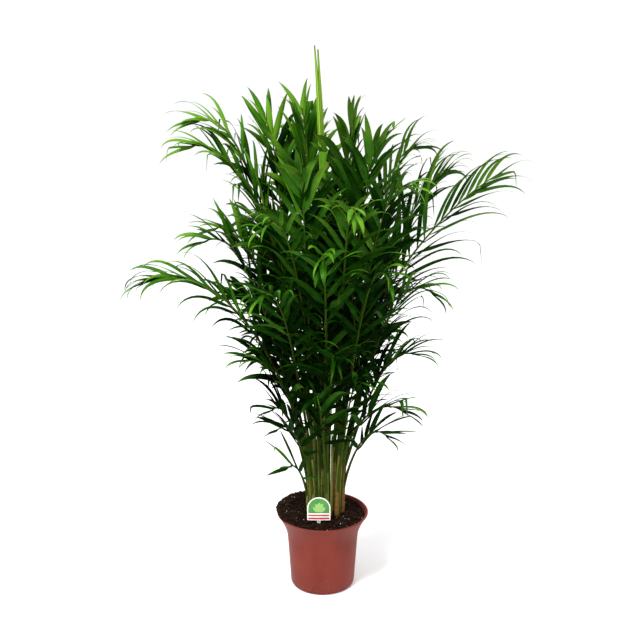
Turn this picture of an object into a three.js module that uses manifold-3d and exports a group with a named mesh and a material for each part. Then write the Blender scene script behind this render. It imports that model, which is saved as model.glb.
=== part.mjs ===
// A bushy areca-type palm in a round plastic nursery pot, in millimetres, +Z up.
// The origin is the middle of the pot's foot, +X is the plant's right and -Y its front.
//
// The pot holds a plug of potting mix. Sixteen canes stand in the mix in two rings round a middle
// one, and each cane carries one to four feather-shaped fronds. A frond is one grown piece: a
// stalk that bends over under its own weight, with two rows of narrow leaflets along its outer part.

import * as THREE from "three";
import { mergeVertices } from "three/addons/utils/BufferGeometryUtils.js";
import Module from "manifold-3d";

const wasm = await Module();
wasm.setup();

// ---------------------------------------------------------------- driving dimensions

const POT_HEIGHT = 205;
const POT_RIM_RADIUS = 120;
const POT_NECK_RADIUS = 93.5; // where the straight wall ends and the flare begins
const POT_NECK_HEIGHT = 138;
const POT_FOOT_RADIUS = 77;
const POT_WALL = 1.8;
const POT_SEGMENTS = 36;
const FLOOR_LIFT = 3; // the drained channel under the pot is this high
const DRAIN_HOLES = 8;
const DRAIN_HOLE_RADIUS = 4.5;
const DRAIN_RING_RADIUS = 47;

const GAP = 0.3; // left between pieces that touch
const SOIL_EDGE_HEIGHT = 198;
const SOIL_HEAP_HEIGHT = 208;

const CLUMP_X = 8; // the canes stand a little right of the pot's middle
// The canes by ring: how far from the clump's middle, the first one's azimuth (degrees), their
// height above the mix and how far they lean out over their height.
const RINGS = [
  { name: "centre", count: 1, radius: 0, azimuth: 0, height: 330, drift: 0 },
  { name: "inner", count: 5, radius: 23, azimuth: 36, height: 265, drift: 0.03 },
  { name: "outer", count: 10, radius: 45, azimuth: 18, height: 185, drift: 0.05 },
];
const CANE_RADIUS = 7.2;
const CANE_TOP_RADIUS = 5;
const CANE_DEPTH = 62; // how far a cane stands in the mix
const SHOOT_RADIUS = 4.4; // a thin side shoot that stands beside its cane
const SHOOT_TIP_RADIUS = 2.6;
const SHOOT_REACH = 1.12; // its length over its cane's

const STALK_RADIUS = 4.2; // a frond's stalk where it leaves the cane
const STALK_TIP_RADIUS = 1.5;
const LEAFLET_SLENDERNESS = 0.095; // a leaflet's widest width over its length
const LEAFLET_KEEL = 0.1; // the depth of its fold over its width
const LEAFLET_WIDEST = 0.28; // how far along its length it is widest
const LEAFLET_BENDS = 24; // the short runs that its droop is worked out by
const LEAFLET_STEEPEST = -1.45; // radians from level, where it hangs
const BARE_STALK = 0.4; // the share of a stalk below its first leaflet

// One row a frond: the cane and how far up it the frond leaves, where the stalk's tip is,
// how far above that tip the stalk arches, how far the frond is rolled about its stalk (radians),
// the pairs of leaflets, the longest leaflet, how limply the leaflets hang (0 to 1) and how wide
// the frond has opened (1 is fully).
const FROND_ROWS = [
  // the outline that shows from the front
  ["inner_1", 0.98, [427, 30, 1090], -100, 1.15, 15, 235, 0.5, 0.75],
  ["outer_6", 0.95, [-430, -95, 850], 76, 0.35, 15, 185, 0.6, 0.7],
  ["inner_3", 1.0, [-302, -50, 1226], 62, 0.55, 18, 195, 0.4, 0.85],
  ["inner_4", 0.95, [-312, -105, 1172], 52, 0.5, 18, 195, 0.4, 0.85],
  ["inner_5", 0.82, [68, -345, 1050], 92, 0.1, 17, 165, 0.4, 1],
  ["outer_8", 0.96, [-4, -330, 940], 96, -0.1, 15, 150, 0.6, 1],
  ["centre", 0.88, [-52, 62, 1250], -90, 0.1, 17, 200, 0.05, 0.9],
  ["centre", 0.74, [72, 10, 1220], -70, 0.8, 17, 200, 0.05, 0.9],
  ["inner_3", 0.8, [-148, 50, 1226], -16, 0.6, 16, 200, 0.1, 0.9],
  ["inner_1", 0.8, [238, 100, 1146], 44, 1.0, 15, 190, 0.6, 0.8],
  ["inner_5", 0.66, [200, -190, 1085], 66, 0.3, 15, 175, 0.45, 1],
  ["outer_10", 0.96, [262, -115, 826], 70, 0.3, 16, 170, 0.4, 1],
  ["outer_5", 0.97, [-272, 22, 956], 56, 0.5, 15, 178, 0.35, 0.85],
  ["outer_5", 0.78, [-290, -64, 940], 60, 0.3, 14, 182, 0.35, 0.85],
  ["outer_7", 0.76, [-184, -110, 658], 14, 0.1, 12, 170, 0.2, 0.9],
  ["outer_1", 0.7, [206, 12, 800], 10, 0.5, 12, 160, 0.4, 0.9],
  ["outer_10", 0.78, [226, -58, 656], 24, 0.2, 11, 170, 0.3, 0.9],
  ["outer_9", 0.76, [196, -104, 524], 40, 0.2, 10, 160, 0.3, 0.9],
  ["outer_10", 0.5, [160, -74, 446], 36, 0.2, 6, 135, 0.1, 0.9],
  ["outer_6", 0.6, [-128, -70, 514], 22, 0.2, 8, 145, 0.1, 0.9],
  ["outer_7", 0.5, [-112, -118, 480], 24, 0.1, 6, 120, 0, 1],
  ["outer_6", 0.36, [-86, -52, 352], 10, 0.1, 3, 140, 0, 1],
  // the front and the middle
  ["inner_5", 0.99, [130, -92, 1180], -40, 0.4, 17, 195, 0.1, 0.9],
  ["inner_4", 0.78, [-128, -262, 1010], 80, -0.2, 15, 165, 0.5, 1],
  ["outer_9", 0.98, [150, -262, 890], 84, 0.2, 14, 160, 0.5, 1],
  ["outer_7", 0.99, [-150, -246, 840], 76, -0.2, 14, 160, 0.5, 1],
  ["outer_8", 0.7, [30, -216, 690], 50, 0.1, 12, 155, 0.4, 1],
  ["inner_4", 0.62, [-60, -170, 1120], 20, -0.3, 12, 180, 0.15, 1],
  ["outer_8", 0.45, [-24, -150, 570], 36, 0, 8, 135, 0.3, 1],
  ["outer_9", 0.5, [96, -150, 610], 30, 0.2, 8, 135, 0.3, 1],
  // the back and the sides
  ["inner_2", 0.98, [-70, 262, 1168], 40, 0.3, 10, 180, 0.25, 1],
  ["inner_2", 0.8, [84, 318, 1060], 76, -0.2, 10, 180, 0.4, 1],
  ["outer_1", 0.98, [322, 160, 1080], -16, 1.1, 12, 225, 0.5, 0.75],
  ["outer_2", 0.97, [170, 300, 880], 84, -0.3, 10, 170, 0.5, 1],
  ["outer_2", 0.76, [150, 196, 640], 40, 0.2, 9, 155, 0.3, 1],
  ["outer_3", 0.97, [-14, 348, 860], 96, 0.2, 10, 170, 0.5, 1],
  ["outer_3", 0.7, [30, 210, 560], 44, -0.1, 8, 145, 0.3, 1],
  ["outer_4", 0.97, [-210, 268, 930], 84, -0.4, 10, 170, 0.5, 1],
  ["outer_4", 0.76, [-150, 172, 650], 40, 0.2, 9, 155, 0.3, 1],
  ["outer_5", 0.6, [-225, 70, 770], 50, 0.3, 10, 160, 0.3, 1],
];
const FRONDS = FROND_ROWS.map(([cane, leaves, tip, arch, roll, pairs, leaflet, hang, open]) => ({
  cane, leaves, tip, arch, roll, pairs, leaflet, hang, open,
}));

// The youngest leaf is still folded shut: it stands up from the middle cane as a slim spear.
const SPEAR_TIPS = [
  [-20, 0, 1398],
  [-12, 6, 1389],
];
const SPEAR_RADII = [4.4, 4.4, 5, 6.6, 6, 1.8]; // at even steps from its foot to its tip

const LABEL_WIDTH = 60;
const LABEL_HEIGHT = 62;
const LABEL_THICKNESS = 1;
const LABEL_FOOT = [-10, -78, 214]; // the middle of the card's lower edge
const LABEL_LEAN = -0.12;
const LABEL_STAKE_WIDTH = 9;
const LABEL_STAKE_LENGTH = 62;

const UP = new THREE.Vector3(0, 0, 1);

// ---------------------------------------------------------------- shared helpers

// A fixed number from -1 to 1 for each seed, so that no two leaflets grow quite alike.
function wobble(seed) {
  const s = Math.sin(seed * 12.9898) * 43758.5453;
  return 2 * (s - Math.floor(s)) - 1;
}

// A closed geometry as a solid that can be joined and cut.
function solidOf(geometry) {
  const bare = new THREE.BufferGeometry();
  bare.setAttribute("position", geometry.getAttribute("position"));
  bare.setIndex(geometry.index);
  const merged = mergeVertices(bare, 1e-3);
  const kept = [];
  for (let i = 0; i < merged.index.count; i += 3) {
    const [a, b, c] = [0, 1, 2].map((k) => merged.index.getX(i + k));
    if (a !== b && b !== c && c !== a) kept.push(a, b, c);
  }
  return new wasm.Manifold(
    new wasm.Mesh({
      numProp: 3,
      vertProperties: merged.attributes.position.array,
      triVerts: new Uint32Array(kept),
    }),
  );
}

function geometryOf(solid) {
  const { vertProperties, triVerts } = solid.getMesh();
  const geometry = new THREE.BufferGeometry();
  geometry.setAttribute("position", new THREE.BufferAttribute(vertProperties, 3));
  geometry.setIndex(new THREE.BufferAttribute(triVerts, 1));
  geometry.computeVertexNormals();
  return geometry;
}

const plant = new THREE.Group();

function addPiece(name, solid, colour, roughness) {
  const material = new THREE.MeshStandardMaterial({ color: colour, roughness, metalness: 0 });
  const mesh = new THREE.Mesh(geometryOf(solid), material);
  mesh.name = name;
  plant.add(mesh);
}

// A solid of revolution about Z from [radius, height] pairs that start and end on the axis.
function turned(profile, segments) {
  const points = profile.map(([r, z]) => new THREE.Vector2(r, z));
  return solidOf(new THREE.LatheGeometry(points, segments).rotateX(Math.PI / 2));
}

// A bar of unit radius, bent along a path. section(t) gives, at share t of its length, the middle
// of the section, its two unit directions and its half sizes along them.
function bentBar(section, sides, stops) {
  const turn = sides === 4 ? Math.PI / 4 : 0; // a square bar has its flats up and sideways
  const bar = new THREE.CylinderGeometry(1, 1, 1, sides, stops.length - 1, false, turn);
  const at = bar.attributes.position;
  for (let i = 0; i < at.count; i++) {
    const t = stops[Math.round((at.getY(i) + 0.5) * (stops.length - 1))];
    const { middle, across, over, half, depth } = section(t);
    const p = middle
      .clone()
      .addScaledVector(across, at.getX(i) * half)
      .addScaledVector(over, at.getZ(i) * depth);
    at.setXYZ(i, p.x, p.y, p.z);
  }
  return solidOf(bar);
}

const evenStops = (steps) => Array.from({ length: steps + 1 }, (_, i) => i / steps);
const STALK_STOPS = [0, 0.2, 0.38, 0.52, 0.63, 0.73, 0.82, 0.91, 1]; // closer where it bends

// A round bar along a curve that lies in one upright plane, with radiusAt(t) as its radius,
// and grown on every side by grow.
function roundBar({ curve, sideways }, radiusAt, sides, stops, grow) {
  return bentBar(
    (t) => {
      const along = curve.getTangentAt(t);
      const radius = radiusAt(t) + grow;
      const beyond = t === 0 ? -grow : t === 1 ? grow : 0;
      return {
        middle: curve.getPointAt(t).addScaledVector(along, beyond),
        across: sideways,
        over: new THREE.Vector3().crossVectors(sideways, along).normalize(),
        half: radius,
        depth: radius,
      };
    },
    sides,
    stops,
  );
}

const placed = []; // every solid that what grows later has to keep clear of

function keepClearOf(solid, owner) {
  const { min, max } = solid.boundingBox();
  placed.push({ solid, owner, min, max });
}

function isClear(solid, ...owners) {
  const { min, max } = solid.boundingBox();
  return placed.every(
    (o) =>
      owners.includes(o.owner) ||
      o.min.some((low, k) => low > max[k]) ||
      o.max.some((high, k) => high < min[k]) ||
      solid.intersect(o.solid).isEmpty(),
  );
}

// ---------------------------------------------------------------- pot

// The wall's outside from the foot to the rim; the inside is the same line moved in by the wall.
function potWall(inset) {
  const r = (radius) => radius - inset;
  const flare = new THREE.CubicBezierCurve(
    new THREE.Vector2(r(POT_NECK_RADIUS), POT_NECK_HEIGHT + inset * 0.3),
    new THREE.Vector2(r(POT_NECK_RADIUS + 2.5), POT_NECK_HEIGHT + 26 + inset * 0.3),
    new THREE.Vector2(r(POT_RIM_RADIUS - 9), POT_HEIGHT - 18 + inset * 0.8),
    new THREE.Vector2(POT_RIM_RADIUS - inset * 0.9, POT_HEIGHT - 3 + inset * 0.9),
  );
  return [
    [r(POT_FOOT_RADIUS + 0.5), inset],
    [r(POT_FOOT_RADIUS + 5), 2 + inset * 0.6],
    [r(POT_FOOT_RADIUS + 7.6), 7 + inset * 0.3],
    ...flare.getPoints(4).map((p) => [p.x, p.y]),
  ];
}

function makePot() {
  const pad = 28;
  const ring = POT_FOOT_RADIUS - 12;
  const foot = [
    [0, 0],
    [pad, 0],
    [pad + 3, FLOOR_LIFT],
    [ring - 3, FLOOR_LIFT],
    [ring, 0],
  ];
  const rim = [
    [POT_RIM_RADIUS - 0.4, POT_HEIGHT],
    [POT_RIM_RADIUS - 5.6, POT_HEIGHT - 1.4],
  ];
  const inside = potWall(POT_WALL).slice(0, -1).reverse();
  const floor = foot.map(([r, z]) => [r, z + POT_WALL]).reverse();
  let pot = turned([...foot, ...potWall(0), ...rim, ...inside, ...floor], POT_SEGMENTS);
  for (let i = 0; i < DRAIN_HOLES; i++) {
    const angle = ((i + 0.5) / DRAIN_HOLES) * 2 * Math.PI;
    const hole = new THREE.CylinderGeometry(DRAIN_HOLE_RADIUS, DRAIN_HOLE_RADIUS, 20, 8)
      .rotateX(Math.PI / 2)
      .translate(DRAIN_RING_RADIUS * Math.cos(angle), DRAIN_RING_RADIUS * Math.sin(angle), 0);
    pot = pot.subtract(solidOf(hole));
  }
  return pot;
}

// ---------------------------------------------------------------- label

// A plain push-in plant label: an arched card on a pointed stake, cut from one sheet.
function labelSolid(grow) {
  const w = LABEL_WIDTH / 2 + grow;
  const stake = LABEL_STAKE_WIDTH / 2 + grow;
  const shoulder = LABEL_HEIGHT - LABEL_WIDTH / 2;
  const outline = new THREE.Shape();
  outline.moveTo(-stake, -grow);
  outline.lineTo(-stake * 0.8, -LABEL_STAKE_LENGTH * 0.8);
  outline.lineTo(0, -LABEL_STAKE_LENGTH - grow);
  outline.lineTo(stake * 0.8, -LABEL_STAKE_LENGTH * 0.8);
  outline.lineTo(stake, -grow);
  outline.lineTo(w, -grow);
  outline.lineTo(w, shoulder);
  outline.absarc(0, shoulder, w, 0, Math.PI, false);
  outline.lineTo(-w, -grow);
  const card = new THREE.ExtrudeGeometry(outline, {
    depth: LABEL_THICKNESS + 2 * grow,
    bevelEnabled: false,
    curveSegments: 12,
  });
  card.translate(0, 0, -LABEL_THICKNESS / 2 - grow);
  card.rotateX(Math.PI / 2 + LABEL_LEAN).translate(...LABEL_FOOT);
  return solidOf(card);
}

// ---------------------------------------------------------------- canes

// Each cane is a slim jointed trunk wrapped in leaf bases. It leans out from the clump's middle.
function layOutCanes() {
  const canes = new Map();
  for (const ring of RINGS) {
    for (let i = 0; i < ring.count; i++) {
      const seed = ring.radius + i;
      const azimuth = THREE.MathUtils.degToRad(
        ring.azimuth + (i / ring.count) * 360 + 5 * wobble(seed),
      );
      const outward = new THREE.Vector3(Math.cos(azimuth), Math.sin(azimuth), 0);
      const height = ring.height * (1 + 0.12 * wobble(seed + 0.3));
      const foot = new THREE.Vector3(CLUMP_X, 0, SOIL_HEAP_HEIGHT - CANE_DEPTH).addScaledVector(
        outward,
        ring.radius * (1 + 0.05 * wobble(seed + 0.6)),
      );
      const length = height + CANE_DEPTH;
      const curve = new THREE.QuadraticBezierCurve3(
        foot,
        foot.clone().addScaledVector(UP, length * 0.55),
        foot
          .clone()
          .addScaledVector(UP, length)
          .addScaledVector(outward, length * ring.drift),
      );
      const name = ring.count === 1 ? ring.name : ring.name + "_" + (i + 1);
      const sideways = new THREE.Vector3().crossVectors(outward, UP);
      const beside = ring.name + "_" + (((i + 1) % ring.count) + 1);
      canes.set(name, { curve, sideways, beside });
    }
  }
  return canes;
}

// A cane's side shoot grows out of its foot, under the mix, and stands halfway to the next cane of
// the ring. There is none where that space is too narrow.
function layOutShoot(cane, canes) {
  const next = canes.get(cane.beside);
  if (!next) return null;
  const { v0: foot, v1: middle, v2: top } = cane.curve;
  const aside = next.curve.v0.clone().sub(foot).multiplyScalar(0.5);
  if (aside.length() < CANE_RADIUS + SHOOT_RADIUS + 2 * GAP) return null;
  const curve = new THREE.CubicBezierCurve3(
    foot.clone().addScaledVector(aside, 0.3).addScaledVector(UP, 4),
    foot.clone().add(aside).addScaledVector(UP, 28),
    middle.clone().add(aside),
    foot.clone().lerp(top, SHOOT_REACH).add(aside),
  );
  return { curve, sideways: cane.sideways };
}

function caneSolid(cane, grow) {
  const radiusAt = (t) => THREE.MathUtils.lerp(CANE_RADIUS, CANE_TOP_RADIUS, t);
  return roundBar(cane, radiusAt, 6, evenStops(3), grow);
}

function shootSolid(shoot, grow) {
  const radiusAt = (t) => THREE.MathUtils.lerp(SHOOT_RADIUS, SHOOT_TIP_RADIUS, t);
  return roundBar(shoot, radiusAt, 5, evenStops(3), grow);
}

// ---------------------------------------------------------------- potting mix

// The plug fills the pot to just under the rim and is heaped a little round the canes.
function makeSoil(cuts) {
  const wall = potWall(POT_WALL + GAP).filter(([, z]) => z < SOIL_EDGE_HEIGHT - 2);
  const edge = POT_RIM_RADIUS - 9;
  const floorZ = FLOOR_LIFT + POT_WALL + GAP;
  const side = [[POT_FOOT_RADIUS - 1, floorZ], ...wall.filter(([, z]) => z > floorZ + 1)];
  const top = [
    [edge, SOIL_EDGE_HEIGHT - 1.5],
    [edge - 8, SOIL_EDGE_HEIGHT + 2],
    [70, SOIL_HEAP_HEIGHT - 1],
    [0, SOIL_HEAP_HEIGHT + 1],
  ];
  let soil = turned([[0, floorZ], ...side, ...top], POT_SEGMENTS);
  for (const cut of cuts) soil = soil.subtract(cut);
  return soil;
}

// ---------------------------------------------------------------- fronds

// The stalk of a frond as a curve in an upright plane: up from the cane, over, and out to its tip.
function layOutStalk(frond, canes, { swing, splay }) {
  const cane = canes.get(frond.cane).curve;
  const foot = cane.getPointAt(frond.leaves);
  const tip = new THREE.Vector3(...frond.tip).sub(foot).applyAxisAngle(UP, swing).add(foot);
  const reach = new THREE.Vector3(tip.x - foot.x, tip.y - foot.y, 0);
  const crest = tip.z + frond.arch;
  const curve = new THREE.CubicBezierCurve3(
    foot,
    cane
      .getTangentAt(frond.leaves)
      .addScaledVector(reach.clone().normalize(), splay)
      .multiplyScalar((crest - foot.z) * 0.5)
      .add(foot),
    foot.clone().addScaledVector(reach, 0.58).setZ(crest),
    tip,
  );
  const sideways = new THREE.Vector3().crossVectors(reach, UP).normalize();
  return { curve, sideways, roll: frond.roll };
}

function stalkSolid(stalk, grow) {
  const radiusAt = (t) => THREE.MathUtils.lerp(STALK_RADIUS, STALK_TIP_RADIUS, t);
  return roundBar(stalk, radiusAt, 4, STALK_STOPS, grow);
}

// The middle and the direction of a stalk at a share of its length, on the straight run between
// two of its stops.
function onStalk({ curve }, share) {
  const next = Math.max(1, STALK_STOPS.findIndex((stop) => stop >= share));
  const [from, to] = [STALK_STOPS[next - 1], STALK_STOPS[next]];
  const [low, high] = [curve.getPointAt(from), curve.getPointAt(to)];
  return {
    start: low.clone().lerp(high, (share - from) / (to - from)),
    along: high.sub(low).normalize(),
  };
}

// One leaflet, as a shallow blade folded to a ridge along its top. It grows out of the stalk
// forwards and upwards from a fine neck, is widest near a third of its length and droops to its
// point.
function leafletSolid(stalk, leaflet, grow) {
  const { share, side, spread, lift, length, droop } = leaflet;
  const { start, along } = onStalk(stalk, share);
  const sideways = stalk.sideways.clone().applyAxisAngle(along, -stalk.roll);
  const over = new THREE.Vector3().crossVectors(sideways, along).normalize();
  sideways.multiplyScalar(side);
  const stalkRadius = THREE.MathUtils.lerp(STALK_RADIUS, STALK_TIP_RADIUS, share);
  const aside = sideways
    .clone()
    .multiplyScalar(Math.cos(lift))
    .addScaledVector(over, Math.sin(lift));
  const heading = along
    .clone()
    .multiplyScalar(Math.cos(spread))
    .addScaledVector(aside, Math.sin(spread));
  const width = length * LEAFLET_SLENDERNESS;
  const outward = heading.clone().addScaledVector(along, 0.15).setZ(0).normalize();
  // A blade can't bend edgeways, so it turns its flat to the way it bends.
  const across = along
    .clone()
    .addScaledVector(heading, -along.dot(heading))
    .normalize()
    .multiplyScalar(-side)
    .addScaledVector(new THREE.Vector3().crossVectors(outward, UP), droop)
    .normalize();
  start.addScaledVector(sideways, -0.4 * stalkRadius);
  // It leaves straight and bends down more and more towards its tip.
  const rise = Math.asin(Math.min(heading.z, 1));
  const middleAt = (t) => {
    const at = start.clone();
    const run = (length * t) / LEAFLET_BENDS;
    for (let i = 0; i < LEAFLET_BENDS; i++) {
      const passed = (t * (i + 0.5)) / LEAFLET_BENDS;
      const climb = Math.max(rise - 3 * droop * passed ** 3, LEAFLET_STEEPEST);
      at.addScaledVector(outward, run * Math.cos(climb)).addScaledVector(UP, run * Math.sin(climb));
    }
    return at;
  };
  // At its widest the blade is square to the way it goes there, between its two straight runs.
  const widest = middleAt(LEAFLET_WIDEST);
  const ridge = new THREE.Vector3();
  for (const run of [widest.clone().sub(start), middleAt(1).sub(widest)]) {
    ridge.add(new THREE.Vector3().crossVectors(across, run).normalize());
  }
  ridge.normalize();
  return bentBar(
    (t) => {
      const half = t === LEAFLET_WIDEST ? width / 2 + grow : t < 1 ? grow : 0;
      return {
        middle: middleAt(t),
        across,
        over: ridge,
        half,
        depth: half * 2 * LEAFLET_KEEL,
      };
    },
    3,
    [0, LEAFLET_WIDEST, 1],
  );
}

// What a leaflet may do to grow past something that is in its way, in the order it is tried.
const DETOURS = [
  { spread: 0, lift: 0, droop: 0, length: 1 },
  { spread: 0.14, lift: 0, droop: 0, length: 1 },
  { spread: -0.14, lift: 0, droop: 0, length: 1 },
  { spread: 0, lift: 0.25, droop: -0.1, length: 1 },
  { spread: 0, lift: -0.25, droop: 0.1, length: 1 },
  { spread: -0.25, lift: 0.3, droop: 0, length: 0.95 },
  { spread: 0.2, lift: -0.4, droop: 0.2, length: 0.95 },
  { spread: -0.3, lift: -0.5, droop: 0.1, length: 0.9 },
  { spread: 0.1, lift: 0.5, droop: 0, length: 0.85 },
  { spread: 0, lift: 0, droop: 0, length: 0.7 },
  { spread: -0.2, lift: 0.3, droop: 0, length: 0.6 },
  { spread: 0, lift: -0.3, droop: 0, length: 0.5 },
  { spread: 0, lift: 0.2, droop: 0, length: 0.35 },
];

function growLeaflets(frond, number, stalk) {
  const leaflets = [];
  for (let pair = 0; pair < frond.pairs; pair++) {
    for (const side of [-1, 1]) {
      const along = (2 * pair + (side > 0 ? 1 : 0)) / (2 * frond.pairs - 1);
      const seed = number * 31 + pair * 2.3 + side * 0.7;
      const grown = {
        share: BARE_STALK + (0.985 - BARE_STALK) * along ** 0.9,
        side,
        spread:
          THREE.MathUtils.lerp(1.0, 0.35, along ** 1.4) * frond.open + 0.07 * wobble(seed),
        lift:
          THREE.MathUtils.lerp(0.5, 0.15, along) - 0.3 * frond.hang + 0.12 * wobble(seed + 0.2),
        length:
          frond.leaflet *
          (0.42 + 0.58 * Math.sin(Math.PI * (0.22 + 0.76 * along))) *
          (1 + 0.07 * wobble(seed + 0.4)),
        droop:
          0.16 + 0.6 * frond.hang + 0.08 * wobble(number + 0.5) + 0.12 * wobble(seed + 0.6),
      };
      const kept = DETOURS.map((detour) => ({
        ...grown,
        spread: grown.spread + detour.spread,
        lift: grown.lift + detour.lift,
        droop: grown.droop + detour.droop,
        length: grown.length * detour.length,
      })).find((tried) => isClear(leafletSolid(stalk, tried, GAP), number));
      if (!kept) continue;
      const blade = leafletSolid(stalk, kept, 0);
      keepClearOf(blade, number);
      leaflets.push(blade);
    }
  }
  return leaflets;
}

// ---------------------------------------------------------------- the plant put together

const canes = layOutCanes();
const caneCuts = new Map();
for (const [name, cane] of canes) {
  let [solid, cut] = [caneSolid(cane, 0), caneSolid(cane, GAP)];
  keepClearOf(solid, "cane_" + name);
  const shoot = layOutShoot(cane, canes);
  if (shoot) {
    const shootBar = shootSolid(shoot, 0);
    keepClearOf(shootBar, "shoot_" + name);
    solid = solid.add(shootBar);
    cut = cut.add(shootSolid(shoot, GAP));
  }
  addPiece("cane_" + name, solid, 0x8c9a4a, 0.55);
  caneCuts.set(name, cut);
}

addPiece("pot", makePot(), 0x94453c, 0.5);
addPiece("potting_mix", makeSoil([...caneCuts.values(), labelSolid(GAP)]), 0x2b1c15, 0.95);
const label = labelSolid(0);
addPiece("plant_label", label, 0xf2f2ea, 0.4);
keepClearOf(label, "plant_label");

const WAYS_UP = [0, 0.04, -0.04, 0.08, -0.08, 0.13, -0.13, 0.2, -0.2, 0.3, -0.3].flatMap((swing) =>
  [0.13, 0.2, 0.3, 0.4].map((splay) => ({ swing, splay })),
);
// The spear first, because it stands on the middle cane's own line.
const spearFoot = canes.get("centre").curve.getPointAt(1);
const spears = SPEAR_TIPS.map((at) => {
  const tip = new THREE.Vector3(...at);
  const curve = new THREE.QuadraticBezierCurve3(
    spearFoot.clone().addScaledVector(UP, GAP),
    spearFoot.clone().setZ((spearFoot.z + tip.z) * 0.55),
    tip,
  );
  const radiusAt = (t) => SPEAR_RADII[Math.round(t * (SPEAR_RADII.length - 1))];
  const sideways = new THREE.Vector3(0, 1, 0);
  return roundBar({ curve, sideways }, radiusAt, 5, evenStops(SPEAR_RADII.length - 1), 0);
});
const spear = wasm.Manifold.union(spears);
addPiece("spear_leaf", spear, 0x7fae3c, 0.4);
keepClearOf(spear, "spear_leaf");

const stalks = FRONDS.map((frond, number) => {
  const way = WAYS_UP.find((tried) =>
    isClear(stalkSolid(layOutStalk(frond, canes, tried), GAP), number, "cane_" + frond.cane),
  );
  if (!way) throw new Error("frond " + (number + 1) + " has no free way up");
  const stalk = layOutStalk(frond, canes, way);
  keepClearOf(stalkSolid(stalk, 0), number);
  return stalk;
});

FRONDS.forEach((frond, number) => {
  const stalk = stalks[number];
  const blades = growLeaflets(frond, number, stalk);
  const grown = wasm.Manifold.union([stalkSolid(stalk, 0), ...blades]);
  const parts = grown.subtract(caneCuts.get(frond.cane)).decompose();
  const largest = parts.reduce((a, b) => (a.volume() > b.volume() ? a : b));
  const name = "frond_" + String(number + 1).padStart(2, "0");
  addPiece(name, largest, 0x2f6b1e, 0.45);
});

export default plant;
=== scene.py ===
import math
import random

import bpy
import numpy as np
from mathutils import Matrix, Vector, noise
from mathutils.bvhtree import BVHTree


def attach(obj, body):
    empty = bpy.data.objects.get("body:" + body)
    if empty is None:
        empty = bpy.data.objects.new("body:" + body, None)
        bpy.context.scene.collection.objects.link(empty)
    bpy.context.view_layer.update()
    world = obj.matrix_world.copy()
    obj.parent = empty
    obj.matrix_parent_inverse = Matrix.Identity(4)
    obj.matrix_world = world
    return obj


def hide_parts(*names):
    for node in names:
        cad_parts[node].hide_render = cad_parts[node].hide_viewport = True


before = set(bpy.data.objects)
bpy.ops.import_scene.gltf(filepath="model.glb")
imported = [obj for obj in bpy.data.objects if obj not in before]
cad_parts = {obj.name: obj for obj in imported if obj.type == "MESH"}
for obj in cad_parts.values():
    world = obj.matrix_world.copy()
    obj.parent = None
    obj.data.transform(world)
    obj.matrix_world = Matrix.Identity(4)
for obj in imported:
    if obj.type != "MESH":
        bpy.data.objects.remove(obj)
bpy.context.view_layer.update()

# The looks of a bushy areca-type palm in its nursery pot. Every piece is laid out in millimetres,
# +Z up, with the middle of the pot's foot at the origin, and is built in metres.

# ------------------------------------------------------------------------------- pot
# A thin nursery pot, moulded in terracotta-coloured polypropylene. Its wall stands nearly
# straight and flares out into a rolled lip. It stands on a ring and a middle pad, and water
# leaves through eight holes in the raised floor between them.

POT_WALL = 1.8
POT_FOOT_RADIUS = 77
POT_FLARE = [(93.5, 138), (96, 164), (110, 186), (118.6, 201)]  # the flare's four control points
POT_FLOOR_LIFT = 3
POT_LIP, POT_LIP_RADII = (117.9, 202.6), (2.5, 2.4)  # the rolled lip's middle and half sizes
POT_SIDES = 120
DRAIN_HOLES, DRAIN_HOLE_RADIUS, DRAIN_RING_RADIUS = 8, 4.5, 47

TERRACOTTA = (0.171, 0.0282, 0.0194, 1)
TERRACOTTA_SHADE = (0.138, 0.0218, 0.015, 1)
SCUFF = (0.30, 0.10, 0.08, 1)
POT_DUST = (0.18, 0.08, 0.055, 1)

EVERYWHERE = "Object"  # the texture coordinate that is the place in metres


class Tone:
    """One value or colour in a finish. Plain arithmetic on it adds the Math nodes for it."""

    def __init__(self, tree, socket=None):
        self.tree, self.socket = tree, socket

    def node(self, kind, settings=None, inputs=None, output=0):
        """Adds a node: its settings first, then the values or links of its sockets."""
        made = self.tree.nodes.new(kind)
        for name, value in (settings or {}).items():
            if name == "stops":
                stops = made.color_ramp.elements
                stops[0].position, stops[-1].position = value[0][0], value[-1][0]
                for place, _ in value[1:-1]:
                    stops.new(place)
                for stop, (_, colour) in zip(stops, value):
                    stop.color = colour
            else:
                setattr(made, name, value)
        for name, value in (inputs or {}).items():
            if isinstance(value, Tone):
                self.tree.links.new(value.socket, made.inputs[name])
            else:
                made.inputs[name].default_value = value
        return Tone(self.tree, made.outputs[output] if made.outputs else None)

    def math(self, operation, first, second=0.0):
        """One Math node, on one or two values."""
        return self.node("ShaderNodeMath", {"operation": operation}, {0: first, 1: second})

    def __add__(self, other):
        return self.math("ADD", self, other)

    def __sub__(self, other):
        return self.math("SUBTRACT", self, other)

    def __rsub__(self, other):
        return self.math("SUBTRACT", other, self)

    def __mul__(self, other):
        return self.math("MULTIPLY", self, other)

    def __pow__(self, other):
        return self.math("POWER", self, other)

    __radd__, __rmul__ = __add__, __mul__


def new_finish(name):
    """An empty material, and the Tone that its nodes are made with."""
    material = bpy.data.materials.new(name)
    material.use_nodes = True
    material.node_tree.nodes.clear()
    return material, Tone(material.node_tree)


def axis(vector, letter):
    """The X, Y or Z of a vector."""
    return vector.node("ShaderNodeSeparateXYZ", {}, {0: vector}, letter)


def carried(start, word):
    """The three numbers that every point of a skin carries as place or as growth."""
    return start.node("ShaderNodeAttribute", {"attribute_name": word}, {}, "Vector")


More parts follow.
